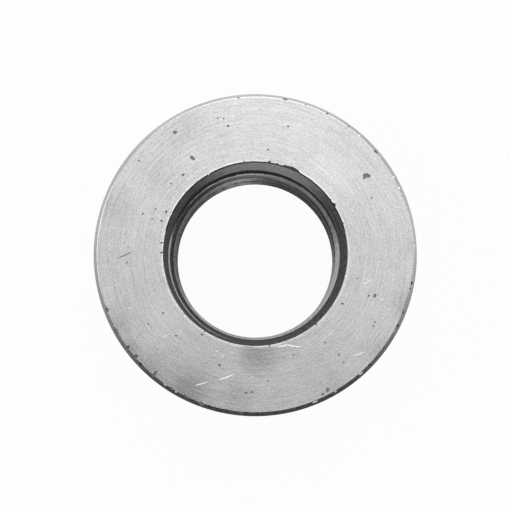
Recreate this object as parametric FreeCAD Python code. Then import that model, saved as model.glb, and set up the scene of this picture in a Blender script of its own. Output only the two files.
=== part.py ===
"""Pinion nut: a plain round steel nut, turned from one piece, with a coarse thread in its bore.

The nut lies on its back face on the plane z = 0, with +Z along its axis and up through the
bearing face. All sizes are in millimetres, and angles are in degrees.
"""
import FreeCAD, Part
import math
import os

# Body of the nut
OUTER_DIAMETER = 80.0
THICKNESS = 27.6
RIM_CHAMFER = 0.9

# Thread: a right-hand form with a steep back flank and a long front flank
MINOR_DIAMETER = 40.64
THREAD_DEPTH = 1.66
THREAD_PITCH = 5.9
CREST_FLAT = 0.35
ROOT_FLAT = 0.30
BACK_FLANK_ANGLE = 10.0
THREAD_START_ANGLE = 250.0

# Mouths of the bore: a long lead-in at the bearing face and a short countersink at the back
MOUTH_DIAMETER = 45.62
LEAD_IN_LENGTH = 14.4
MOUTH_EDGE_BREAK = 0.15
COUNTERSINK_CLEARANCE = 0.2
COUNTERSINK_ANGLE = 60.0

AXIS = FreeCAD.Vector(0, 0, 1)
BASE = FreeCAD.Vector(0, 0, 0)

outer_radius = OUTER_DIAMETER / 2
minor_radius = MINOR_DIAMETER / 2
major_radius = minor_radius + THREAD_DEPTH
mouth_radius = MOUTH_DIAMETER / 2
countersink_radius = major_radius + COUNTERSINK_CLEARANCE
countersink_depth = (countersink_radius - minor_radius) / math.tan(math.radians(COUNTERSINK_ANGLE))


def closed_outline(outline):
    """Join (radius, height) points in the plane y = 0 into a closed wire."""
    points = [FreeCAD.Vector(radius, 0, height) for radius, height in outline]
    return Part.makePolygon(points + points[:1])


def ring_blank():
    """Turn the ring: chamfered rim, tapered lead-in, straight bore and back countersink."""
    outline = [
        (countersink_radius, 0.0),
        (outer_radius - RIM_CHAMFER, 0.0),
        (outer_radius, RIM_CHAMFER),
        (outer_radius, THICKNESS - RIM_CHAMFER),
        (outer_radius - RIM_CHAMFER, THICKNESS),
        (mouth_radius + MOUTH_EDGE_BREAK, THICKNESS),
        (mouth_radius, THICKNESS - MOUTH_EDGE_BREAK),
        (minor_radius, THICKNESS - LEAD_IN_LENGTH),
        (minor_radius, countersink_depth),
    ]
    return Part.Face(closed_outline(outline)).revolve(BASE, AXIS, 360)


def thread_start_height():
    """Height at which the lead-in has narrowed to the thread's major diameter."""
    narrowed = (mouth_radius - major_radius) / (mouth_radius - minor_radius)
    return THICKNESS - MOUTH_EDGE_BREAK - narrowed * (LEAD_IN_LENGTH - MOUTH_EDGE_BREAK)


def groove_section(root_height):
    """Outline the groove with its root centred at a height.

    The flanks run on a little inside the minor diameter, so that the cut is clean.
    """
    overcut = 0.05
    back_run = THREAD_DEPTH * math.tan(math.radians(BACK_FLANK_ANGLE))
    front_run = THREAD_PITCH - CREST_FLAT - ROOT_FLAT - back_run
    grow = 1 + overcut / THREAD_DEPTH
    top = root_height + ROOT_FLAT / 2
    bottom = root_height - ROOT_FLAT / 2
    return closed_outline([
        (minor_radius - 2 * overcut, top + back_run * grow),
        (minor_radius - overcut, top + back_run * grow),
        (major_radius, top),
        (major_radius, bottom),
        (minor_radius - overcut, bottom - front_run * grow),
        (minor_radius - 2 * overcut, bottom - front_run * grow),
    ])


def groove_stretch(turns, root_height, start_angle):
    """Sweep the groove's section up part of a right-hand helix from a height and an angle."""
    helix = Part.makeHelix(THREAD_PITCH, turns * THREAD_PITCH, minor_radius)
    helix.translate(FreeCAD.Vector(0, 0, root_height))
    stretch = Part.Wire(helix.Edges).makePipeShell([groove_section(root_height)], True, True)
    stretch.rotate(BASE, AXIS, start_angle)
    return stretch


def cut_thread(blank):
    """Cut the thread, half a turn at a time, from below the back face to above its start."""
    step = 0.5
    turns_above = 0.5
    turns_below = math.ceil(thread_start_height() / THREAD_PITCH) + 1
    threaded = blank
    for index in range(round((turns_below + turns_above) / step)):
        turns_up = index * step - turns_below
        root_height = thread_start_height() + turns_up * THREAD_PITCH
        start_angle = THREAD_START_ANGLE + turns_up * 360
        threaded = threaded.cut(groove_stretch(step, root_height, start_angle))
    return threaded


os.makedirs("parts", exist_ok=True)
nut = cut_thread(ring_blank())
nut.exportStep("parts/pinion_nut.step")
print("pinion_nut", "valid", nut.isValid(), "solids", len(nut.Solids), "volume", round(nut.Volume, 1))
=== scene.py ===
"""Looks of a round pinion nut: a thick turned steel ring with a coarse thread in its bore.

The nut lies on its back face. Sizes are in millimetres and are turned into metres when a mesh
is made. Places on the bearing face are polar: an angle in degrees, counted counter-clockwise
from +X as seen from above, and a distance from the nut's axis.
"""
import logging
import math
import random
from dataclasses import dataclass, field
from enum import Enum
from typing import Sequence

import bpy
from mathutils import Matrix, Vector, noise


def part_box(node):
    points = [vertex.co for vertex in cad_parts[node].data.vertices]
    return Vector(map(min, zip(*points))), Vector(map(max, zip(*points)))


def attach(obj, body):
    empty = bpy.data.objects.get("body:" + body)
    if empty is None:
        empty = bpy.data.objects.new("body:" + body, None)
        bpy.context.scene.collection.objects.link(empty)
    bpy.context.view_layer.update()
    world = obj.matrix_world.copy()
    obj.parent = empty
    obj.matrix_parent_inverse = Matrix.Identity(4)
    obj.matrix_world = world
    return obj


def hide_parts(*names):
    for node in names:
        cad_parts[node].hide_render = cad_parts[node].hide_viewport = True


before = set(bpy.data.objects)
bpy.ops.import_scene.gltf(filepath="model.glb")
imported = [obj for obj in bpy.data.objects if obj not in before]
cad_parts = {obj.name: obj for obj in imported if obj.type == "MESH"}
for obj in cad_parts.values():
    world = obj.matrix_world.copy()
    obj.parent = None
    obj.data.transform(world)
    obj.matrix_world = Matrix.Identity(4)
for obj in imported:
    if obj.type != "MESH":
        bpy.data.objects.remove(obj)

LOG = logging.getLogger("pinion_nut")
MM = 0.001
CAD_NODE = "pinion_nut"
Point = tuple[float, float, float]
Colour = tuple[float, float, float, float]
Socket = bpy.types.NodeSocket
Piece = bpy.types.Object


def grey(level: float, warmth: float = 0.0) -> Colour:
    """Give a linear grey that leans to brown by the share that is given as its warmth."""
    return (level * (1 + warmth), level, level * (1 - warmth), 1.0)


def polar(angle: float, distance: float, height: float) -> Point:
    """Turn an angle in degrees and two lengths in millimetres into a point in metres."""
    turn = math.radians(angle)
    return (distance * math.cos(turn) * MM, distance * math.sin(turn) * MM, height * MM)


# Modelling helpers


def deselect_all() -> None:
    """Leave edit mode and deselect every object."""
    if bpy.context.object and bpy.context.object.mode != "OBJECT":
        bpy.ops.object.mode_set(mode="OBJECT")
    bpy.ops.object.select_all(action="DESELECT")


def make_active(piece: Piece) -> None:
    """Select one object alone and make it the active one.

    Args:
        piece: The object to select.
    """
    deselect_all()
    piece.select_set(True)
    bpy.context.view_layer.objects.active = piece


def settle(piece: Piece) -> None:
    """Move the object's place, turn and scale into its mesh."""
    make_active(piece)
    bpy.ops.object.transform_apply(location=True, rotation=True, scale=True)


def enlarge(piece: Piece, factor: float) -> None:
    """Scale an object's mesh by a factor about the origin."""
    piece.scale = (factor, factor, factor)
    settle(piece)


def apply_modifier(piece: Piece, kind: str, **settings: object) -> None:
    """Add a modifier, set it and apply it.

    Args:
        piece: The object to change.
        kind: The modifier's type.
        settings: Values of the modifier's properties by name.
    """
    make_active(piece)
    modifier = piece.modifiers.new(kind.title(), kind)
    for name, value in settings.items():
        setattr(modifier, name, value)
    bpy.ops.object.modifier_apply(modifier=modifier.name)


def draw_chain(name: str, points: Sequence[Point]) -> Piece:
    """Draw a closed outline by extruding one vertex from point to point.

    Args:
        name: Name of the new object.
        points: Corners of the outline in metres, in order.

    Returns:
        An object that holds the closed wire.
    """
    deselect_all()
    bpy.ops.mesh.primitive_plane_add(size=MM, location=points[0])
    chain = bpy.context.object
    chain.name = name
    bpy.ops.object.transform_apply(location=True, rotation=True, scale=True)
    bpy.ops.object.mode_set(mode="EDIT")
    bpy.ops.mesh.select_mode(type="VERT")
    bpy.ops.mesh.select_all(action="SELECT")
    bpy.ops.mesh.merge(type="CENTER")
    for here, there in zip(points, points[1:]):
        step = Vector(there) - Vector(here)
        bpy.ops.mesh.extrude_region_move(TRANSFORM_OT_translate={"value": step})
    bpy.ops.object.mode_set(mode="OBJECT")
    ends = (0, len(chain.data.vertices) - 1)
    for index, vertex in enumerate(chain.data.vertices):
        vertex.select = index in ends
    bpy.ops.object.mode_set(mode="EDIT")
    bpy.ops.mesh.edge_face_add()
    bpy.ops.object.mode_set(mode="OBJECT")
    return chain


def face_outwards(piece: Piece, merge: float = 0.0005) -> None:
    """Merge doubles and turn every face of a closed mesh outwards.

    Args:
        piece: The object to tidy.
        merge: Distance in millimetres under which vertices become one.
    """
    make_active(piece)
    bpy.ops.object.mode_set(mode="EDIT")
    bpy.ops.mesh.select_all(action="SELECT")
    bpy.ops.mesh.remove_doubles(threshold=merge * MM)
    bpy.ops.mesh.normals_make_consistent(inside=False)
    bpy.ops.object.mode_set(mode="OBJECT")


def join(pieces: Sequence[Piece], name: str) -> Piece:
    """Join objects into one.

    Args:
        pieces: The objects, of which the first one stays.
        name: Name of the joined object.

    Returns:
        The joined object.
    """
    make_active(pieces[0])
    for piece in pieces:
        piece.select_set(True)
    bpy.ops.object.join()
    joined = bpy.context.object
    joined.name = name
    return joined


def cut(piece: Piece, cutter: Piece) -> None:
    """Cut one object out of another and delete the cutter.

    Marks of a tenth of a millimetre are too small for a sure cut in metres, so both objects are
    enlarged for it.

    Args:
        piece: The object that is cut.
        cutter: The closed object that is taken away, whose finishes the new faces keep.
    """
    enlarge(piece, 1 / MM)
    enlarge(cutter, 1 / MM)
    apply_modifier(
        piece, "BOOLEAN", operation="DIFFERENCE", solver="EXACT", object=cutter,
        material_mode="TRANSFER",
    )
    bpy.data.objects.remove(cutter, do_unlink=True)
    enlarge(piece, MM)


def close_slits(piece: Piece, merge: float = 0.001, flat: float = 0.0005) -> None:
    """Close the slits that cuts leave, and drop faces with no width.

    Args:
        piece: The piece that was cut.
        merge: Distance in millimetres under which vertices become one.
        flat: Length in millimetres under which an edge is dropped.
    """
    enlarge(piece, 1 / MM)
    bpy.ops.object.mode_set(mode="EDIT")
    bpy.ops.mesh.select_mode(type="VERT")
    bpy.ops.mesh.select_all(action="SELECT")
    bpy.ops.mesh.remove_doubles(threshold=merge)
    bpy.ops.mesh.dissolve_degenerate(threshold=flat)
    bpy.ops.mesh.normals_make_consistent(inside=False)
    bpy.ops.object.mode_set(mode="OBJECT")
    enlarge(piece, MM)


# Finishes


class Surface(Enum):
    """The finishes that the nut wears, in the order of its material slots."""

    FACE = "turned_face"
    RIM = "rim_chamfer"
    WALL = "outer_wall"
    BORE = "bore_wall"
    FLANK = "thread_flank"
    PIT = "dark_pit"
    CHIP = "mouth_chip"
    BARE = "bare_metal"


class NodeDesk:
    """Adds shader nodes to one material or world and links them."""

    def __init__(self, owner: bpy.types.Material | bpy.types.World) -> None:
        """Take hold of the owner's node tree and empty it."""
        self.tree = owner.node_tree
        self.tree.nodes.clear()

    def add(
        self, kind: str, inputs: dict[str | int, object] | None = None, **values: object
    ) -> bpy.types.Node:
        """Add a node, set its properties and feed its inputs.

        Args:
            kind: The node's type without the word ShaderNode.
            inputs: Values or sockets by input name or number.
            values: Property values by name.

        Returns:
            The new node.
        """
        node = self.tree.nodes.new("ShaderNode" + kind)
        for name, value in values.items():
            setattr(node, name, value)
        for name, value in (inputs or {}).items():
            self.feed(node.inputs[name], value)
        return node

    def feed(self, socket: Socket, value: object) -> None:
        """Link a socket to an input, or set the input's own value.

        Args:
            socket: The input.
            value: The socket or value that it gets.
        """
        if isinstance(value, Socket):
            self.tree.links.new(value, socket)
        else:
            socket.default_value = value

    def math(
        self, operation: str, first: object, second: object = 0.0, third: object = 0.0
    ) -> Socket:
        """Work out one operation on up to three numbers or sockets."""
        node = self.add("Math", {0: first, 1: second, 2: third}, operation=operation)
        return node.outputs[0]

    def swing(self, level: object, pattern: Socket, strength: float) -> Socket:
        """Let a pattern, whose middle is one half, raise and lower a level by its strength."""
        return self.math("MULTIPLY_ADD", self.math("SUBTRACT", pattern, 0.5), strength, level)

    def ramp(
        self, value: object, low: float, high: float, start: float = 0.0, end: float = 1.0
    ) -> Socket:
        """Map a number smoothly, so that low gives start and high gives end."""
        spans = {0: value, 1: low, 2: high, 3: start, 4: end}
        return self.add("MapRange", spans, interpolation_type="SMOOTHSTEP").outputs[0]

    def noise(
        self, vector: object, scale: float, detail: float = 3.0, roughness: float = 0.55
    ) -> Socket:
        """Add a noise pattern over a place, whose grain is finer where the scale is larger."""
        inputs = {"Vector": vector, "Scale": scale, "Detail": detail, "Roughness": roughness}
        return self.add("TexNoise", inputs).outputs["Fac"]

    def mix(self, share: object, first: object, second: object) -> Socket:
        """Mix two colours, of which the second one has the share."""
        node = self.add("Mix", {0: share, 6: first, 7: second}, data_type="RGBA")
        return node.outputs[2]


@dataclass(frozen=True)
class PolarPlace:
    """Sockets that say where a surface point lies round the nut's axis."""

    angle: Socket
    radius: Socket
    height: Socket
    position: Socket

    @classmethod
    def read(cls, desk: NodeDesk) -> "PolarPlace":
        """Read the point's angle in turns, and its radius and height in millimetres.

        Args:
            desk: The material's node desk.

        Returns:
            The point's sockets.
        """
        position = desk.add("TexCoord").outputs["Object"]
        parts = desk.add("SeparateXYZ", {0: position}).outputs
        turns = desk.math("DIVIDE", desk.math("ARCTAN2", parts[1], parts[0]), 2 * math.pi)
        across_squared = desk.math("MULTIPLY", parts[0], parts[0])
        square = desk.math("ADD", across_squared, desk.math("MULTIPLY", parts[1], parts[1]))
        radius = desk.math("DIVIDE", desk.math("SQRT", square), MM)
        height = desk.math("DIVIDE", parts[2], MM)
        return cls(turns, radius, height, position)

    def sine(self, desk: NodeDesk) -> Socket:
        """Give the sine of the point's angle, one at the upper side of the photograph."""
        up_the_photograph = desk.add("SeparateXYZ", {0: self.position}).outputs[1]
        return desk.math("DIVIDE", desk.math("DIVIDE", up_the_photograph, MM), self.radius)

    def round_the_axis(
        self, desk: NodeDesk, turns_scale: float, out_scale: float, up: bool = False
    ) -> Socket:
        """Build a seamless vector that stretches patterns round or across the nut.

        Args:
            desk: The material's node desk.
            turns_scale: Size of the circle that stands for one whole turn.
            out_scale: Share of each millimetre of radius, or of height.
            up: Whether the pattern changes with the height, not with the radius.

        Returns:
            The vector's socket.
        """
        turn = desk.math("MULTIPLY", self.angle, 2 * math.pi)
        across = desk.math("MULTIPLY", desk.math("COSINE", turn), turns_scale)
        along = desk.math("MULTIPLY", desk.math("SINE", turn), turns_scale)
        out = desk.math("MULTIPLY", self.height if up else self.radius, out_scale)
        return desk.add("CombineXYZ", {0: across, 1: along, 2: out}).outputs[0]


@dataclass(frozen=True)
class PaintedShadeSide:
    """One side of the nut that is darkened with painted shade."""

    angle: float
    span: tuple[float, float]
    strength: float

    def share(self, desk: NodeDesk, place: PolarPlace) -> Socket:
        """Give the painted shade's share, which rises towards the side's middle.

        Args:
            desk: The material's node desk.
            place: Where the surface point lies.

        Returns:
            A socket that rises to the strength along the span of the cosine from the middle.
        """
        turn = desk.math("MULTIPLY", place.angle, 2 * math.pi)
        leaning = desk.math("COSINE", desk.math("SUBTRACT", turn, math.radians(self.angle)))
        return desk.ramp(leaning, *self.span, 0.0, self.strength)


@dataclass(frozen=True)
class DirtAndShade:
    """Dark oil and rust specks, and painted shade, in the bore and on the rim, each kind as a
    share from zero to one.

    The pitch, start height and start angle are the thread's. The spans in capitals say where a
    kind sets in and where it is full: heights in millimetres, sines of the angle, or shares of
    the pitch below the thread's root.
    """

    # specks are real dirt; root is painted shade in the thread's root on the upper side, with real
    # dirt; depth is painted shade that darkens the bore further down; lip darkens the bore near
    # its mouth on the upper side; the sides carry painted shade
    specks: float = 0.0
    root: float = 0.0
    depth: float = 0.0
    lip: float = 0.0
    painted_shade_sides: tuple[PaintedShadeSide, ...] = ()
    tone: float = 0.025
    pitch: float = 5.9
    start_height: float = 22.7
    start_angle: float = 250.0

    PATCH_SCALE, PATCH_DETAIL, PATCH_ROUGHNESS, PATCH_SPAN = 1500.0, 5.0, 0.7, (0.44, 0.78)
    THICKER_SINES, THICKER_BY = (0.82, 1.0), 0.05
    UNDER_ROOT, NEXT_ROOT = (0.26, 0.40), (0.80, 0.95)
    ROOT_SINES, ROOT_HEIGHTS = (0.1, 0.6), (22.6, 23.6)
    DEEP_HEIGHTS = (7.0, 21.0)
    LIP_SINES, LIP_HEIGHTS = (0.1, 0.5), (26.7, 27.35)
    RAGGED_SCALE, RAGGED_BY = 700.0, 0.16

    def share(self, desk: NodeDesk, place: PolarPlace) -> Socket:
        """Say how much of the steel is darkened by dirt and by painted shade.

        Args:
            desk: The material's node desk.
            place: Where the surface point lies.

        Returns:
            A socket from zero for clean steel to one where dirt and painted shade make it black.
        """
        patches = desk.noise(
            place.position, self.PATCH_SCALE, self.PATCH_DETAIL, self.PATCH_ROUGHNESS
        )
        total = desk.math("MULTIPLY", desk.ramp(patches, *self.PATCH_SPAN), self.specks)
        # painted shade, with real dirt, along the thread's root
        if self.root:
            line = self.root_line(desk, place)
            total = desk.math("MULTIPLY_ADD", line, self.root, total)
        # painted shade, darker deeper down the bore
        if self.depth:
            deep = desk.ramp(place.height, *self.DEEP_HEIGHTS, self.depth, 0.0)
            total = desk.math("ADD", deep, total)
        if self.lip:
            upper = desk.math("MULTIPLY", desk.ramp(place.sine(desk), *self.LIP_SINES), self.lip)
            edge = desk.ramp(place.height, *self.LIP_HEIGHTS)
            total = desk.math("MULTIPLY_ADD", edge, upper, total)
        # painted shade over whole sides of the nut
        for shade_side in self.painted_shade_sides:
            total = desk.math("ADD", shade_side.share(desk, place), total)
        return desk.math("MINIMUM", total, 1.0)

    def root_line(self, desk: NodeDesk, place: PolarPlace) -> Socket:
        """Draw the dark line of painted shade, with real dirt, that follows the thread's root on
        the upper side.

        Args:
            desk: The material's node desk.
            place: Where the surface point lies.

        Returns:
            A socket that is one in the line.
        """
        sine = place.sine(desk)
        drop = self.below_root(desk, place)
        thicker = desk.ramp(sine, *self.THICKER_SINES, 0.0, self.THICKER_BY)
        under = desk.ramp(desk.math("SUBTRACT", drop, thicker), *self.UNDER_ROOT, 1.0, 0.0)
        near = desk.math("ADD", under, desk.ramp(drop, *self.NEXT_ROOT))
        low_enough = desk.ramp(place.height, *self.ROOT_HEIGHTS, 1.0, 0.0)
        upper = desk.math("MULTIPLY", desk.ramp(sine, *self.ROOT_SINES), low_enough)
        return desk.math("MULTIPLY", near, upper)

    def below_root(self, desk: NodeDesk, place: PolarPlace) -> Socket:
        """Say how far a point lies below the thread's root above it.

        Args:
            desk: The material's node desk.
            place: Where the surface point lies.

        Returns:
            A socket with the drop as a share of the pitch, a little ragged.
        """
        climb = desk.math("SUBTRACT", place.angle, self.start_angle / 360)
        below_start = desk.math("SUBTRACT", self.start_height, place.height)
        turns_down = desk.math("DIVIDE", below_start, self.pitch)
        drop = desk.math("FRACT", desk.math("ADD", turns_down, climb))
        return desk.swing(drop, desk.noise(place.position, self.RAGGED_SCALE), self.RAGGED_BY)


@dataclass(frozen=True)
class StainAndPaintedLight:
    """A soft patch on the face, placed in degrees and millimetres.

    It is a dull stain with painted shade, or a painted highlight where its strength is negative.
    """

    angle: float
    radius: float
    reach: float
    strength: float

    def share(self, desk: NodeDesk, place: PolarPlace, top: float = 27.6) -> Socket:
        """Say how much the patch darkens the steel here, or brightens it as a painted highlight.

        Args:
            desk: The material's node desk.
            place: Where the surface point lies.
            top: Height of the face in millimetres.

        Returns:
            A socket that falls from the patch's strength to zero.
        """
        middle = polar(self.angle, self.radius, top)
        away = desk.add("VectorMath", {0: place.position, 1: middle}, operation="DISTANCE")
        return desk.ramp(away.outputs["Value"], 0.0, self.reach * MM, self.strength, 0.0)


# Angle, radius, reach and strength of each patch: stains with painted shade, and painted
# highlights where the strength is negative
STAINS_AND_PAINTED_LIGHT = (
    StainAndPaintedLight(243.0, 38.0, 9.5, 0.52),
    StainAndPaintedLight(228.0, 38.5, 7.0, 0.36),
    StainAndPaintedLight(218.0, 39.0, 4.5, 0.40),
    StainAndPaintedLight(208.0, 38.5, 6.0, 0.22),
    StainAndPaintedLight(270.0, 25.0, 7.0, 0.44),
    StainAndPaintedLight(262.0, 36.0, 6.5, 0.22),
    StainAndPaintedLight(281.0, 25.0, 6.0, 0.12),
    StainAndPaintedLight(300.0, 38.5, 6.0, 0.15),
    StainAndPaintedLight(322.0, 39.5, 6.0, 0.26),
    StainAndPaintedLight(342.0, 39.5, 6.0, 0.26),
    StainAndPaintedLight(2.0, 39.5, 5.0, 0.14),
    StainAndPaintedLight(161.0, 37.5, 7.0, 0.20),
    StainAndPaintedLight(121.0, 36.5, 9.0, 0.20),
    StainAndPaintedLight(139.0, 31.0, 8.0, 0.10),
    StainAndPaintedLight(45.0, 26.5, 10.0, -0.14),
    StainAndPaintedLight(215.0, 27.0, 10.0, -0.14),
    StainAndPaintedLight(70.0, 32.0, 9.0, -0.08),
)


@dataclass(frozen=True)
class SteelFinish:
    """A steel surface: its tone, gloss, turning lines, grain, stains with painted light, and dirt
    with painted shade.

    The values in capitals are the patterns' sizes, shares and spans.
    """

    surface: Surface
    tone: float
    metallic: float = 1.0
    roughness: float = 0.35
    specular: float = 0.4
    warmth: float = 0.0
    grain: float = 0.5
    clouds: float = 0.2
    lines: float = 0.0
    streaks: float = 0.0
    anisotropy: float = 0.0
    wraps: float = 0.0
    wrap_rate: float = 1.6
    mouth_polish: float = 0.0
    pepper: float = 0.0
    stains_and_painted_light: tuple[StainAndPaintedLight, ...] = ()
    dirt_and_shade: DirtAndShade | None = None

    PLAIN_LEVEL = 0.6
    DARKER, LIGHTER, DARKER_WARMTH = 0.55, 1.3, 0.01
    SOIL_WARMTH, SOIL_ROUGHNESS, SOIL_SPAN = 0.08, 0.85, (0.2, 0.8)
    GRAIN_SCALE, CLOUD_SCALE, PEPPER_SCALE, POLISH_SCALE = 3000.0, 60.0, 1500.0, 350.0
    LINE_ARCS = ((10.0, 3.2, 0.55), (2.2, 2.8, 0.7))
    STREAK_ARC, STREAK_SPACING, WRAP_ARC = 9.0, 0.05, 5.0
    PEPPER_SPAN, POLISH_SPAN = (0.66, 0.78), (0.35, 0.6)
    POLISH_RADII, POLISH_HEIGHTS = (22.9, 23.6), (20.0, 25.0)
    RELIEF_ARC, RELIEF_SPACING, RELIEF_SCALE = 1.0, 12.0, 1800.0
    LINED_RELIEF, PLAIN_RELIEF, GRAIN_RELIEF = 0.5, 0.1, 0.5
    RELIEF_STRENGTH, RELIEF_DEPTH = 0.25, 0.02

    def material(self) -> bpy.types.Material:
        """Build the finish.

        Returns:
            The finished material.
        """
        steel = bpy.data.materials.new(self.surface.value)
        steel.use_nodes = True
        desk = NodeDesk(steel)
        place = PolarPlace.read(desk)
        level = self.tone_pattern(desk, place)
        dark = grey(self.tone * self.DARKER, self.warmth + self.DARKER_WARMTH)
        colour = desk.mix(level, dark, grey(self.tone * self.LIGHTER, self.warmth))
        metallic, roughness = self.metallic, self.roughness
        # dirt and painted shade darken and dull the steel
        if self.dirt_and_shade:
            darkened = self.dirt_and_shade.share(desk, place)
            colour = desk.mix(darkened, colour, grey(self.dirt_and_shade.tone, self.SOIL_WARMTH))
            metallic = desk.ramp(darkened, *self.SOIL_SPAN, self.metallic, 0.0)
            roughness = desk.ramp(darkened, *self.SOIL_SPAN, self.roughness, self.SOIL_ROUGHNESS)
        inputs = {"Base Color": colour, "Metallic": metallic, "Roughness": roughness}
        shader = desk.add("BsdfPrincipled", inputs)
        shader.inputs["Specular IOR Level"].default_value = self.specular
        if self.anisotropy:
            shader.inputs["Anisotropic"].default_value = self.anisotropy
            tangent = desk.add("Tangent", direction_type="RADIAL", axis="Z")
            desk.feed(shader.inputs["Tangent"], tangent.outputs[0])
        desk.feed(shader.inputs["Normal"], self.relief(desk, place))
        out = desk.add("OutputMaterial")
        desk.feed(out.inputs["Surface"], shader.outputs[0])
        return steel

    def tone_pattern(self, desk: NodeDesk, place: PolarPlace) -> Socket:
        """Mix grain, turning lines, streaks, rubbing, pepper, and stains with painted shade and
        painted highlights into one brightness.

        Args:
            desk: The material's node desk.
            place: Where the surface point lies.

        Returns:
            A socket that is near the plain level where the steel has its plain tone.
        """
        fine = desk.noise(place.position, self.GRAIN_SCALE, 2.0, 0.6)
        level = desk.swing(self.PLAIN_LEVEL, fine, self.grain)
        level = desk.swing(level, desk.noise(place.position, self.CLOUD_SCALE, 3.0), self.clouds)
        if self.lines:
            for arc, spacing, share in self.LINE_ARCS:
                rings = desk.noise(place.round_the_axis(desk, arc, spacing), 1.0, 3.0, 0.65)
                level = desk.swing(level, rings, share * self.lines)
        if self.streaks:
            rays = place.round_the_axis(desk, self.STREAK_ARC, self.STREAK_SPACING)
            level = desk.swing(level, desk.noise(rays, 1.0, 4.0, 0.6), self.streaks)
        if self.wraps:
            rubbed = place.round_the_axis(desk, self.WRAP_ARC, self.wrap_rate, up=True)
            level = desk.swing(level, desk.noise(rubbed, 1.0, 4.0, 0.65), self.wraps)
        if self.pepper:
            dots = desk.noise(place.position, self.PEPPER_SCALE, 1.0)
            dots = desk.ramp(dots, *self.PEPPER_SPAN)
            level = desk.math("MULTIPLY_ADD", dots, -self.pepper, level)
        if self.mouth_polish:
            level = self.polished(desk, place, level)
        # stains with painted shade, and painted highlights where a strength is negative
        for stain_and_light_patch in self.stains_and_painted_light:
            level = desk.math("SUBTRACT", level, stain_and_light_patch.share(desk, place))
        return desk.math("MINIMUM", desk.math("MAXIMUM", level, 0.0), 1.0)

    def polished(self, desk: NodeDesk, place: PolarPlace, level: Socket) -> Socket:
        """Brighten the face unevenly along the bore's mouth.

        Args:
            desk: The material's node desk.
            place: Where the surface point lies.
            level: The brightness so far.

        Returns:
            The new brightness.
        """
        uneven = desk.ramp(desk.noise(place.position, self.POLISH_SCALE), *self.POLISH_SPAN)
        edge = desk.ramp(place.radius, *self.POLISH_RADII, self.mouth_polish, 0.0)
        upper_face = desk.ramp(place.height, *self.POLISH_HEIGHTS)
        return desk.math("MULTIPLY_ADD", desk.math("MULTIPLY", edge, uneven), upper_face, level)

    def relief(self, desk: NodeDesk, place: PolarPlace) -> Socket:
        """Press the turning lines and the grain into the surface.

        Args:
            desk: The material's node desk.
            place: Where the surface point lies.

        Returns:
            The bent normal's socket.
        """
        lines = place.round_the_axis(desk, self.RELIEF_ARC, self.RELIEF_SPACING)
        rings_share = self.LINED_RELIEF if self.lines else self.PLAIN_RELIEF
        rings = desk.math("MULTIPLY", desk.noise(lines, 1.0, 2.0, 0.6), rings_share)
        fine = desk.noise(place.position, self.RELIEF_SCALE, 2.0)
        height = desk.math("ADD", rings, desk.math("MULTIPLY", fine, self.GRAIN_RELIEF))
        depth = self.RELIEF_DEPTH * MM
        inputs = {"Strength": self.RELIEF_STRENGTH, "Distance": depth, "Height": height}
        return desk.add("Bump", inputs).outputs[0]


FINISHES = (
    SteelFinish(
        Surface.FACE, tone=0.65, roughness=0.34, warmth=-0.005, grain=1.35, clouds=0.16,
        lines=1.05, streaks=0.2, anisotropy=0.4, mouth_polish=0.8, pepper=0.4, stains_and_painted_light=STAINS_AND_PAINTED_LIGHT,
    ),
    SteelFinish(
        Surface.RIM, tone=0.60, roughness=0.24, grain=0.8, clouds=0.4,
        # the bottom of the rim is darkened with painted shade, over real dirt specks
        dirt_and_shade=DirtAndShade(specks=0.2, painted_shade_sides=(PaintedShadeSide(angle=270.0, span=(-0.15, 0.9), strength=0.92),)),
    ),
    SteelFinish(
        Surface.WALL, tone=0.46, roughness=0.36, clouds=0.5, wraps=0.7, wrap_rate=3.4, pepper=0.3,
    ),
    SteelFinish(
        Surface.BORE, tone=0.50, metallic=0.1, roughness=0.75, specular=0.08, warmth=0.03,
        grain=2.0, wraps=1.1,
        # painted shade in the thread's root, deeper down, and over all but the upper side, which
        # stays lighter; the bore near its mouth darker on the upper side; real dirt specks
        dirt_and_shade=DirtAndShade(
            specks=0.42, root=0.9, depth=0.46, lip=0.9, tone=0.035,
            painted_shade_sides=(PaintedShadeSide(angle=263.0, span=(-1.15, -0.62), strength=0.78),),
        ),
    ),
    SteelFinish(
        Surface.FLANK, tone=0.45, metallic=0.9, roughness=0.36, specular=0.1, grain=1.5,
        wraps=1.1,
        # painted shade in the thread's root, deeper down and over two sides; real dirt specks
        dirt_and_shade=DirtAndShade(
            specks=0.38, root=0.93, depth=0.34, tone=0.035,
            painted_shade_sides=(
                PaintedShadeSide(angle=48.0, span=(0.6, 0.98), strength=0.32),
                PaintedShadeSide(angle=160.0, span=(0.5, 0.95), strength=0.20),
            ),
        ),
    ),
    SteelFinish(Surface.PIT, tone=0.24, metallic=0.5, roughness=0.6),
    SteelFinish(Surface.CHIP, tone=0.07, metallic=0.0, roughness=0.8, specular=0.1, grain=1.3),
    SteelFinish(Surface.BARE, tone=0.86, roughness=0.30),
)


# Wear


def face_point(column: float, row: float) -> Vector:
    """Turn a column and row of the photograph into millimetres from the nut's axis."""
    axis_column, axis_row, pixel = 254.9, 252.7, 0.2472
    return Vector(((column - axis_column) * pixel, (axis_row - row) * pixel))


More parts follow.
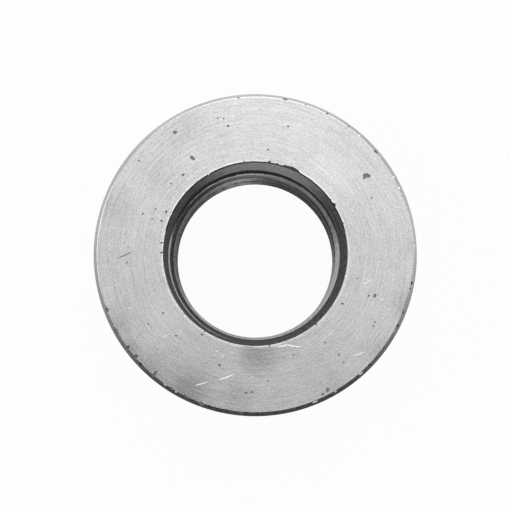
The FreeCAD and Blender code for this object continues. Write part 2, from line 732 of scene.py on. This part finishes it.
def ragged_lump(
    centre: Point, size: Point, turn: float, seed: int, unevenness: float = 0.09
) -> Piece:
    """Make an uneven rounded lump that is cut out of the nut.

    Args:
        centre: Middle in millimetres.
        size: Length, width and height in millimetres.
        turn: Degrees from +X to its length.
        seed: Number that settles its unevenness.
        unevenness: How far its corners move, as a share of its size.

    Returns:
        The lump.
    """
    deselect_all()
    bpy.ops.mesh.primitive_ico_sphere_add(subdivisions=2, radius=0.5 * MM)
    lump = bpy.context.object
    bpy.ops.object.mode_set(mode="EDIT")
    bpy.ops.mesh.select_all(action="SELECT")
    bpy.ops.transform.vertex_random(offset=unevenness * MM, seed=seed)
    bpy.ops.transform.resize(value=size)
    bpy.ops.object.mode_set(mode="OBJECT")
    lump.rotation_euler = (0.0, 0.0, math.radians(turn))
    lump.location = Vector(centre) * MM
    settle(lump)
    return lump


@dataclass(frozen=True)
class Pit:
    """A dark pit in the face, placed by the photograph's column and row."""

    column: float
    row: float
    length: float
    width: float
    turn: float = 0.0
    depth: float = 0.14
    surface: Surface = Surface.PIT

    REACH = 0.65

    def clearing(self) -> tuple[Vector, float]:
        """Give the pit's middle and the distance that it reaches, in millimetres."""
        return face_point(self.column, self.row), self.REACH * self.length

    def lump(self, top: float, seed: int) -> Piece:
        """Make the shape that is cut out of the face.

        Args:
            top: Height of the face in millimetres.
            seed: Number that settles its unevenness.

        Returns:
            The lump.
        """
        x, y = face_point(self.column, self.row)
        size = (self.length, self.width, 2 * self.depth)
        return ragged_lump((x, y, top), size, self.turn, seed)


@dataclass(frozen=True)
class Scratch:
    """A straight scratch in the face between two places of the photograph."""

    start: tuple[float, float]
    end: tuple[float, float]
    width: float = 0.30
    depth: float = 0.08
    surface: Surface = Surface.BARE

    REACH = 0.6

    def clearing(self) -> tuple[Vector, float]:
        """Give the scratch's middle and the distance that it reaches, in millimetres."""
        first, last = face_point(*self.start), face_point(*self.end)
        return (first + last) / 2, self.REACH * (last - first).length

    def lump(self, top: float, seed: int) -> Piece:
        """Make the shape that is cut out of the face.

        Args:
            top: Height of the face in millimetres.
            seed: Number that settles its unevenness.

        Returns:
            The lump.
        """
        first, last = face_point(*self.start), face_point(*self.end)
        middle, run = (first + last) / 2, last - first
        turn = math.degrees(math.atan2(run.y, run.x))
        size = (run.length, self.width, 2 * self.depth)
        return ragged_lump((middle.x, middle.y, top), size, turn, seed)


@dataclass(frozen=True)
class RimNick:
    """A knock on the corner between the face and the rim chamfer."""

    angle: float
    length: float
    width: float = 0.6
    depth: float = 0.35
    radius: float = 39.3
    surface: Surface = Surface.PIT

    REACH = 0.65
    SUNK_BY = 0.12

    def clearing(self) -> tuple[Vector, float]:
        """Give the knock's middle and the distance that it reaches, in millimetres."""
        middle = Vector(polar(self.angle, self.radius, 0.0)).xy / MM
        return middle, self.REACH * max(self.length, self.width)

    def lump(self, top: float, seed: int) -> Piece:
        """Make the shape that is cut out of the corner.

        Args:
            top: Height of the face in millimetres.
            seed: Number that settles its unevenness.

        Returns:
            The lump.
        """
        x, y, _ = polar(self.angle, self.radius, 0.0)
        centre = (x / MM, y / MM, top - self.SUNK_BY)
        size = (self.length, self.width, 2 * self.depth)
        return ragged_lump(centre, size, self.angle + 90, seed)


# Column, row, length and width of each pit
PITS = (
    Pit(174.0, 130.5, 1.1, 0.85, turn=20),
    Pit(192.0, 156.5, 1.6, 0.85, turn=-45),
    Pit(182.6, 173.4, 0.9, 0.55, turn=30),
    Pit(170.6, 182.4, 0.6, 0.45),
    Pit(165.8, 210.8, 0.9, 0.55, turn=60),
    Pit(155.0, 207.5, 0.5, 0.40),
    Pit(142.5, 213.0, 0.6, 0.45),
    Pit(152.0, 218.0, 0.5, 0.35),
    Pit(161.0, 220.0, 0.8, 0.50, turn=-30),
    Pit(227.6, 124.0, 0.8, 0.55),
    Pit(223.0, 116.4, 0.5, 0.40),
    Pit(217.0, 116.0, 0.5, 0.40),
    Pit(138.0, 159.0, 0.5, 0.40),
    Pit(288.0, 124.5, 0.6, 0.45),
    Pit(267.5, 148.4, 0.6, 0.45),
    Pit(366.7, 174.4, 2.1, 1.15, turn=-10),
    Pit(364.0, 176.6, 0.8, 0.60, turn=40),
    Pit(371.5, 197.0, 0.5, 0.45),
    Pit(127.0, 262.0, 0.5, 0.40),
    Pit(163.0, 312.0, 0.6, 0.50),
    Pit(148.4, 323.3, 0.4, 0.40),
    Pit(176.0, 335.0, 0.6, 0.45),
    Pit(202.0, 333.6, 0.8, 0.50, turn=-30),
    Pit(219.4, 364.0, 0.8, 0.60, turn=-50),
    Pit(245.5, 391.0, 0.8, 0.55),
    Pit(251.4, 390.5, 0.7, 0.55),
    Pit(267.5, 379.5, 0.5, 0.40),
    Pit(356.4, 277.8, 0.5, 0.40),
    Pit(374.0, 295.0, 1.1, 0.80, turn=70),
    Pit(368.0, 295.0, 0.6, 0.50),
    Pit(341.7, 302.7, 0.7, 0.60),
    Pit(374.0, 321.0, 0.5, 0.40),
    Pit(372.6, 325.0, 0.5, 0.40),
    Pit(324.4, 341.5, 0.5, 0.40),
    Pit(293.0, 354.0, 0.5, 0.40),
    Pit(338.0, 353.4, 0.6, 0.45),
    Pit(342.6, 361.0, 0.5, 0.40),
    Pit(326.6, 388.4, 1.2, 0.90, turn=60),
    Pit(321.7, 392.7, 0.8, 0.60),
)

BORE_CHIPS = (
    Pit(292.0, 169.4, 4.3, 1.90, turn=-23, depth=0.50, surface=Surface.CHIP),
    Pit(285.0, 165.6, 1.6, 1.00, turn=-10, depth=0.40, surface=Surface.CHIP),
    Pit(268.6, 161.0, 1.3, 0.60, turn=40, depth=0.30, surface=Surface.CHIP),
    Pit(334.0, 203.7, 1.1, 0.70, turn=-60, depth=0.30, surface=Surface.CHIP),
    Pit(161.5, 242.0, 0.9, 0.35, turn=10, depth=0.25, surface=Surface.CHIP),
    Pit(161.5, 252.0, 0.9, 0.35, turn=-10, depth=0.25, surface=Surface.CHIP),
    Pit(163.6, 274.5, 0.9, 0.50, turn=20, depth=0.25, surface=Surface.BARE),
    Pit(184.0, 314.6, 1.1, 0.55, turn=-45, depth=0.25, surface=Surface.BARE),
    Pit(234.6, 344.4, 0.9, 0.50, turn=-15, depth=0.25, surface=Surface.BARE),
)

# First and last place of each scratch, as column and row
SCRATCHES = (
    Scratch((194.5, 384.0), (208.0, 380.0), width=0.38),
    Scratch((217.0, 378.6), (235.0, 372.0), width=0.50),
    Scratch((162.5, 336.0), (171.0, 331.4)),
    Scratch((172.0, 331.0), (179.0, 328.7), width=0.12),
    Scratch((351.5, 354.7), (365.0, 350.4)),
    Scratch((362.0, 283.7), (372.6, 277.8)),
    Scratch((379.0, 299.7), (383.5, 296.4)),
    Scratch((286.4, 378.0), (298.4, 376.0), width=0.15),
    Scratch((212.0, 355.0), (216.0, 352.0)),
    Scratch((215.5, 350.5), (219.5, 348.5)),
    Scratch((221.0, 355.5), (225.0, 353.5)),
    Scratch((128.0, 307.0), (132.5, 306.2)),
    Scratch((250.4, 375.4), (252.4, 374.8), width=0.34),
    Scratch((275.0, 345.4), (287.0, 343.4), width=0.46, depth=0.12),
    Scratch((286.0, 343.4), (302.0, 345.8), width=0.40, depth=0.10),
    Scratch((117.0, 258.0), (134.0, 250.0), width=0.20, surface=Surface.CHIP),
)

# Angle and length of each knock
RIM_NICKS = (
    RimNick(79.1, 1.4),
    RimNick(62.9, 0.8),
    RimNick(49.0, 0.9, surface=Surface.BARE),
    RimNick(40.3, 1.2, width=0.9),
    RimNick(29.3, 0.7, surface=Surface.BARE),
    RimNick(24.7, 0.9, surface=Surface.BARE),
    RimNick(3.3, 1.3, width=0.5, surface=Surface.BARE),
    RimNick(349.3, 0.9, surface=Surface.CHIP),
    RimNick(333.1, 0.9, surface=Surface.CHIP),
    RimNick(311.3, 1.1, surface=Surface.BARE),
    RimNick(306.4, 0.8, surface=Surface.CHIP),
    RimNick(291.9, 1.4, surface=Surface.BARE),
    RimNick(290.2, 0.9, surface=Surface.CHIP),
    RimNick(264.9, 1.0, width=0.7),
    RimNick(250.2, 1.8, width=1.1, depth=0.45),
    RimNick(251.0, 1.4, width=0.4, radius=38.6, depth=0.2, surface=Surface.BARE),
    RimNick(244.0, 1.6, width=0.6, radius=39.1),
    RimNick(238.3, 1.1, width=0.7, radius=39.1),
    RimNick(230.2, 0.9, width=2.0, radius=38.5, depth=0.3),
    RimNick(229.4, 0.35, width=1.4, radius=38.3, depth=0.22, surface=Surface.BARE),
    RimNick(224.0, 1.2, width=0.6, radius=39.1, surface=Surface.CHIP),
    RimNick(220.9, 1.0, width=1.3, radius=38.8),
    RimNick(216.4, 0.8, width=1.1, radius=38.8),
    RimNick(209.6, 2.2, width=0.9, radius=39.15),
    RimNick(207.0, 0.9, width=0.5, radius=38.9, surface=Surface.BARE),
    RimNick(212.3, 0.8, width=0.8, radius=38.4, surface=Surface.BARE),
    RimNick(200.8, 1.4, width=0.8, radius=39.0),
)


@dataclass(frozen=True)
class KnockRow:
    """A row of small uneven knocks along a stretch of an edge.

    The spans in capitals are shares of a step, and widths and depths in millimetres.
    """

    start: float
    end: float
    count: int
    radius: float
    size: tuple[float, float]
    bare_share: float
    seed: int
    dark: Surface = Surface.PIT

    PLACES, WIDTHS, DEPTHS = (0.2, 0.8), (0.25, 0.75), (0.18, 0.3)

    def nicks(self) -> list[RimNick]:
        """Spread the knocks unevenly, one to each step of the row.

        Returns:
            The knocks in order.
        """
        chance = random.Random(self.seed)
        step = (self.end - self.start) / self.count
        knocks = []
        for index in range(self.count):
            surface = Surface.BARE if chance.random() < self.bare_share else self.dark
            knocks.append(RimNick(
                angle=self.start + step * (index + chance.uniform(*self.PLACES)),
                length=chance.uniform(*self.size), width=chance.uniform(*self.WIDTHS),
                depth=chance.uniform(*self.DEPTHS), radius=self.radius, surface=surface,
            ))
        return knocks


# Start, end, count, radius and sizes of each row: three along the rim, two along the mouth
KNOCK_ROWS = (
    KnockRow(200.0, 262.0, 24, 39.1, (0.4, 1.3), bare_share=0.15, seed=3, dark=Surface.CHIP),
    KnockRow(262.0, 350.0, 12, 39.2, (0.3, 0.8), bare_share=0.3, seed=5, dark=Surface.CHIP),
    KnockRow(20.0, 100.0, 10, 39.2, (0.3, 0.7), bare_share=0.5, seed=7),
    KnockRow(150.0, 330.0, 16, 22.98, (0.3, 0.9), bare_share=0.8, seed=9),
    KnockRow(335.0, 505.0, 9, 22.98, (0.3, 0.8), bare_share=0.3, seed=13),
)


@dataclass(frozen=True)
class Wear:
    """The knocks, pits and scratches that the nut has taken."""

    top: float
    named: tuple[Pit | Scratch | RimNick, ...] = PITS + BORE_CHIPS + SCRATCHES + RIM_NICKS

    def is_clear(self, nick: RimNick) -> bool:
        """Say whether a small knock stays away from every named mark.

        Args:
            nick: The small knock.

        Returns:
            True where it meets none of them.
        """
        middle, reach = nick.clearing()
        others = (mark.clearing() for mark in self.named)
        return all((middle - other).length > reach + other_reach for other, other_reach in others)

    def cut_into(self, nut: Piece, materials: dict[Surface, bpy.types.Material]) -> None:
        """Cut the marks out of the nut, in rounds that take every other mark of a list.

        Marks that overlap within one round would leave flakes, and neighbours may overlap.

        Args:
            nut: The threaded nut.
            materials: The material of each finish.
        """
        knocks = [nick for row in KNOCK_ROWS for nick in row.nicks() if self.is_clear(nick)]
        for group in (self.named[0::2], self.named[1::2], knocks[0::2], knocks[1::2]):
            for surface in (Surface.PIT, Surface.CHIP, Surface.BARE):
                lumps = [
                    mark.lump(self.top, seed)
                    for seed, mark in enumerate(group) if mark.surface is surface
                ]
                if not lumps:
                    continue
                for lump in lumps:
                    lump.data.materials.append(materials[surface])
                cut(nut, join(lumps, surface.value + "_marks"))


# The nut


@dataclass
class PinionNut:
    """The turned ring with its thread.

    The values in capitals say which faces of the plain ring wear which finish.
    """

    outer_radius: float
    thickness: float
    rim_chamfer: float = 0.9
    minor_radius: float = 20.32
    thread_depth: float = 1.66
    pitch: float = 5.9
    crest_flat: float = 0.35
    root_flat: float = 0.30
    back_flank_angle: float = 10.0
    start_angle: float = 250.0
    mouth_radius: float = 22.81
    lead_in: float = 14.4
    edge_break: float = 0.15
    burr_widths: tuple[float, float] = (0.16, 0.34)
    countersink_clearance: float = 0.2
    countersink_angle: float = 60.0
    face_edge_softness: float = 0.22
    wall_edge_softness: float = 0.04
    softness_segments: int = 3
    thread_above_start: float = 0.5
    cutter_overlap: float = 0.6
    steps: int = 360
    materials: dict[Surface, bpy.types.Material] = field(default_factory=dict)

    LEVEL, UPRIGHT, RIM_MARGIN = 0.97, 0.2, 0.2
    WORN_SCALE, WORN_THIN, WORN_WIDE = 300.0, -0.15, 0.12
    DARK_EDGE_SINE = 0.25

    @property
    def major_radius(self) -> float:
        """Radius of the thread's root."""
        return self.minor_radius + self.thread_depth

    @property
    def countersink_radius(self) -> float:
        """Radius of the countersink at the back face."""
        return self.major_radius + self.countersink_clearance

    @property
    def burr_start(self) -> float:
        """Radius at which the face ends and the mouth's edge break begins."""
        return self.mouth_radius + self.edge_break

    def build(self) -> Piece:
        """Turn the ring, dress it, and cut the thread.

        Returns:
            The nut as one closed mesh.
        """
        self.materials = {finish.surface: finish.material() for finish in FINISHES}
        nut = self.turned_ring()
        self.dress(nut)
        cut(nut, self.thread_cutter())
        Wear(self.thickness).cut_into(nut, self.materials)
        close_slits(nut)
        return nut

    def turned_ring(self) -> Piece:
        """Spin the ring's outline round the axis.

        Returns:
            The ring with lightly rounded corners.
        """
        flare = self.countersink_radius - self.minor_radius
        drop = flare / math.tan(math.radians(self.countersink_angle))
        top, rim, outer = self.thickness, self.rim_chamfer, self.outer_radius
        outline = [
            (self.countersink_radius, 0.0),
            (outer - rim, 0.0),
            (outer, rim),
            (outer, top - rim),
            (outer - rim, top),
            *((self.burr_start + width, top) for width in reversed(self.burr_widths)),
            (self.burr_start, top),
            (self.mouth_radius, top - self.edge_break),
            (self.minor_radius, top - self.lead_in),
            (self.minor_radius, drop),
        ]
        points = [polar(0.0, radius, height) for radius, height in outline]
        ring = draw_chain("nut_body", points)
        make_active(ring)
        bpy.ops.object.mode_set(mode="EDIT")
        bpy.ops.mesh.select_all(action="SELECT")
        bpy.ops.mesh.spin(steps=self.steps, angle=2 * math.pi, center=(0, 0, 0), axis=(0, 0, 1))
        bpy.ops.object.mode_set(mode="OBJECT")
        face_outwards(ring)
        self.soften_rim(ring, outer - rim, self.face_edge_softness)
        self.soften_rim(ring, outer, self.wall_edge_softness)
        return ring

    def soften_rim(self, ring: Piece, at_radius: float, softness: float) -> None:
        """Round the edges of the two rim chamfers at one radius.

        Args:
            ring: The turned ring.
            at_radius: Radius of the edges in millimetres.
            softness: Width of the rounding in millimetres.
        """
        make_active(ring)
        mesh = ring.data
        nearby, hair = 0.01, 0.001 * MM
        for vertex in mesh.vertices:
            vertex.select = abs(vertex.co.xy.length / MM - at_radius) < nearby
        for polygon in mesh.polygons:
            polygon.select = False
        for edge in mesh.edges:
            first, second = (mesh.vertices[index] for index in edge.vertices)
            level = abs(first.co.z - second.co.z) < hair
            same = abs(first.co.xy.length - second.co.xy.length) < hair
            edge.select = first.select and second.select and level and same
        bpy.ops.object.mode_set(mode="EDIT")
        bpy.ops.mesh.select_mode(type="EDGE")
        bpy.ops.mesh.bevel(
            offset=softness * MM, segments=self.softness_segments, affect="EDGES"
        )
        bpy.ops.object.mode_set(mode="OBJECT")

    def dress(self, ring: Piece) -> None:
        """Give each part of the plain ring its finish by its place.

        Args:
            ring: The turned ring.
        """
        for surface in Surface:
            ring.data.materials.append(self.materials[surface])
        order = list(Surface)
        for polygon in ring.data.polygons:
            surface = self.surface_at(polygon.center, polygon.normal)
            polygon.material_index = order.index(surface)

    def surface_at(self, centre: Vector, normal: Vector) -> Surface:
        """Say which finish a face of the plain ring wears.

        Args:
            centre: The face's middle in metres.
            normal: The face's outward direction.

        Returns:
            The finish.
        """
        radius = centre.xy.length / MM
        sine = centre.y / MM / radius
        if normal.z < -self.LEVEL:
            return Surface.FACE
        if normal.z > self.LEVEL:
            width = radius - self.burr_start
            worn = noise.noise(Vector((centre.x, centre.y, 0.0)) * self.WORN_SCALE)
            thin, wide = self.burr_widths
            bright_edge = width < thin and worn > self.WORN_THIN
            bright_patch = width < wide and worn > self.WORN_WIDE
            return Surface.BARE if bright_edge or bright_patch else Surface.FACE
        if radius > self.outer_radius - self.rim_chamfer - self.RIM_MARGIN:
            return Surface.WALL if abs(normal.z) < self.UPRIGHT else Surface.RIM
        if abs(centre.z / MM - self.thickness) < self.edge_break:
            return Surface.BORE if sine > self.DARK_EDGE_SINE else Surface.BARE
        return Surface.BORE

    def thread_cutter(self) -> Piece:
        """Sweep the groove's section down the bore as a screw.

        Returns:
            A closed screw-shaped cutter.
        """
        tapered = self.mouth_radius - self.minor_radius
        narrowed = (self.mouth_radius - self.major_radius) / tapered
        start = self.thickness - self.edge_break - narrowed * (self.lead_in - self.edge_break)
        turns = math.ceil(start / self.pitch) + 1
        base = start - turns * self.pitch
        back_run = self.thread_depth * math.tan(math.radians(self.back_flank_angle))
        front_run = self.pitch - self.crest_flat - self.root_flat - back_run
        upper, lower = base + self.root_flat / 2, base - self.root_flat / 2
        inner = self.minor_radius - self.cutter_overlap
        section = [
            (inner, upper + back_run),
            (self.minor_radius, upper + back_run),
            (self.major_radius, upper),
            (self.major_radius, lower),
            (self.minor_radius, lower - front_run),
            (inner, lower - front_run),
        ]
        points = [polar(self.start_angle, radius, height) for radius, height in section]
        cutter = draw_chain("thread_cutter", points)
        total = turns + self.thread_above_start
        steps = int(self.steps * total / 2)
        apply_modifier(
            cutter, "SCREW", axis="Z", angle=2 * math.pi * total,
            screw_offset=self.pitch * total * MM, steps=steps, render_steps=steps,
            use_normal_calculate=True,
        )
        make_active(cutter)
        bpy.ops.object.mode_set(mode="EDIT")
        bpy.ops.mesh.select_all(action="SELECT")
        bpy.ops.mesh.fill_holes(sides=0)
        bpy.ops.object.mode_set(mode="OBJECT")
        face_outwards(cutter)
        cutter.data.materials.append(self.materials[Surface.FLANK])
        return cutter


# Stage


@dataclass(frozen=True)
class Softbox:
    """A soft rectangular lamp that looks at the nut."""

    name: str
    place: Point
    width: float
    height: float
    power: float

    def add(self) -> None:
        """Hang the lamp and aim it at the nut."""
        lamp = bpy.data.lights.new(self.name, "AREA")
        lamp.shape = "RECTANGLE"
        lamp.size = self.width
        lamp.size_y = self.height
        lamp.energy = self.power
        holder = bpy.data.objects.new(self.name, lamp)
        bpy.context.scene.collection.objects.link(holder)
        holder.location = self.place
        holder.rotation_euler = (-Vector(self.place)).to_track_quat("-Z", "Y").to_euler()


@dataclass(frozen=True)
class Studio:
    """The pale floor, the even surroundings, the lamps and the camera."""

    top: float
    front_fill: float = 1.0
    back_fill: float = 0.30
    back_level: float = 1.0
    front_level: float = 0.55
    floor_fade_start: float = 0.10
    floor_fade_end: float = 0.38
    floor_far_level: float = 0.55
    camera_distance: float = 370.8
    camera_elevation: float = 85.35
    aim_left_of_axis: float = 0.07
    aim_below_axis: float = 0.37
    focal_length: float = 106.05
    floor_size: float = 3.0
    floor_tone: float = 0.8
    floor_glow: float = 0.96
    level_span: tuple[float, float] = (-0.25, 0.35)
    fill_span: tuple[float, float] = (-0.7, 0.5)
    lamps: tuple[Softbox, ...] = (
        Softbox("overhead_softbox", (0.14, 0.50, 0.95), width=1.0, height=0.9, power=1.8),
        Softbox("back_softbox", (0.0, 1.1, 0.40), width=1.5, height=0.7, power=4.6),
        Softbox("left_softbox", (-1.0, 0.1, 0.75), width=0.9, height=0.6, power=2.6),
        Softbox("right_softbox", (1.2, 0.1, 0.4), width=0.8, height=0.5, power=1.6),
    )

    def build(self) -> None:
        """Set the stage in order."""
        scene = bpy.context.scene
        scene.view_settings.view_transform = "Standard"
        self.add_world()
        self.add_floor()
        for lamp in self.lamps:
            lamp.add()
        self.add_camera()

    def add_world(self) -> None:
        """Surround the nut with a backdrop that is white behind and above, and darker in front."""
        world = bpy.data.worlds.new("studio")
        bpy.context.scene.world = world
        world.use_nodes = True
        desk = NodeDesk(world)
        direction = desk.add("SeparateXYZ", {0: desk.add("TexCoord").outputs["Generated"]}).outputs
        level = desk.ramp(direction[1], *self.level_span, self.front_level, self.back_level)
        fill = desk.ramp(direction[1], *self.fill_span, self.front_fill, self.back_fill)
        strength = desk.add("MapRange", {0: self.seen(desk), 3: fill, 4: level}).outputs[0]
        background = desk.add("Background", {"Strength": strength})
        desk.feed(desk.add("OutputWorld").inputs["Surface"], background.outputs[0])

    @staticmethod
    def seen(desk: NodeDesk) -> Socket:
        """Tell what the camera sees, straight or in metal, from what only lights the nut.

        Args:
            desk: The node desk of the floor or the world.

        Returns:
            A socket that is one where the camera sees the surface, and zero elsewhere.
        """
        path = desk.add("LightPath").outputs
        mirrored = desk.math("MAXIMUM", path["Is Glossy Ray"], path["Is Transmission Ray"])
        return desk.math("MAXIMUM", path["Is Camera Ray"], mirrored)

    def add_floor(self) -> None:
        """Lay the floor, which is white round the nut, keeps its shadow and fades further out."""
        deselect_all()
        bpy.ops.mesh.primitive_plane_add(size=self.floor_size)
        floor = bpy.context.object
        floor.name = "floor"
        material = bpy.data.materials.new("pale_floor")
        material.use_nodes = True
        desk = NodeDesk(material)
        place = desk.add("TexCoord").outputs["Object"]
        distance = desk.add("VectorMath", {0: place}, operation="LENGTH").outputs["Value"]
        fade = (self.floor_fade_start, self.floor_fade_end)
        level = desk.ramp(distance, *fade, 1.0, self.floor_far_level)
        plain = desk.add("BsdfDiffuse", {"Color": grey(self.floor_tone)}).outputs[0]
        white = desk.add("Emission", {"Color": grey(1.0), "Strength": level}).outputs[0]
        share = desk.math("MULTIPLY", self.seen(desk), self.floor_glow)
        mixed = desk.add("MixShader", {0: share, 1: plain, 2: white}).outputs[0]
        out = desk.add("OutputMaterial")
        desk.feed(out.inputs["Surface"], mixed)
        floor.data.materials.append(material)

    def add_camera(self) -> None:
        """Hang the camera over the nut, a little towards the front."""
        tilt = math.radians(self.camera_elevation)
        aim = Vector((-self.aim_left_of_axis * MM, -self.aim_below_axis * MM, self.top * MM))
        back = Vector((0.0, -math.cos(tilt), math.sin(tilt)))
        camera = bpy.data.cameras.new("camera")
        camera.lens = self.focal_length
        camera.sensor_width = 36.0
        camera.clip_start = 0.01
        holder = bpy.data.objects.new("camera", camera)
        bpy.context.scene.collection.objects.link(holder)
        holder.location = aim + back * self.camera_distance * MM
        holder.rotation_euler = back.to_track_quat("Z", "Y").to_euler()
        bpy.context.scene.camera = holder


def shade(piece: Piece, angle: float = 25.0, weight: int = 90) -> None:
    """Shade a piece smoothly, but leave its sharp edges and the borders of its cuts sharp.

    The normals lean to the larger faces, so that a dent or a narrow rounded edge leaves its
    neighbours flat.

    Args:
        piece: The piece to shade.
        angle: Degrees under which two faces are shaded as one.
        weight: How strongly the normals lean to the larger faces.
    """
    make_active(piece)
    bpy.ops.object.shade_smooth_by_angle(angle=math.radians(angle))
    bpy.ops.object.mode_set(mode="EDIT")
    bpy.ops.mesh.select_mode(type="FACE")
    for surface in (Surface.FLANK, Surface.PIT, Surface.CHIP, Surface.BARE):
        bpy.ops.mesh.select_all(action="DESELECT")
        piece.active_material_index = list(Surface).index(surface)
        bpy.ops.object.material_slot_select()
        bpy.ops.mesh.region_to_loop()
        bpy.ops.mesh.mark_sharp()
        bpy.ops.mesh.select_mode(type="FACE")
    bpy.ops.object.mode_set(mode="OBJECT")
    apply_modifier(piece, "WEIGHTED_NORMAL", keep_sharp=True, weight=weight)


def log_piece(piece: Piece) -> None:
    """Log a piece's name and its number of faces."""
    LOG.info("%s: %d faces", piece.name, len(piece.data.polygons))


def main() -> None:
    """Build the nut and its stage."""
    logging.basicConfig(level=logging.INFO, format="%(name)s %(message)s")
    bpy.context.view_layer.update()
    low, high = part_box(CAD_NODE)
    radius, thickness = (high[0] - low[0]) / 2 / MM, (high[2] - low[2]) / MM
    maker = PinionNut(outer_radius=radius, thickness=thickness)
    nut = maker.build()
    shade(nut)
    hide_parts(CAD_NODE)
    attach(nut, "root")
    log_piece(nut)
    Studio(top=maker.thickness).build()


if __name__ == "__main__":
    main()
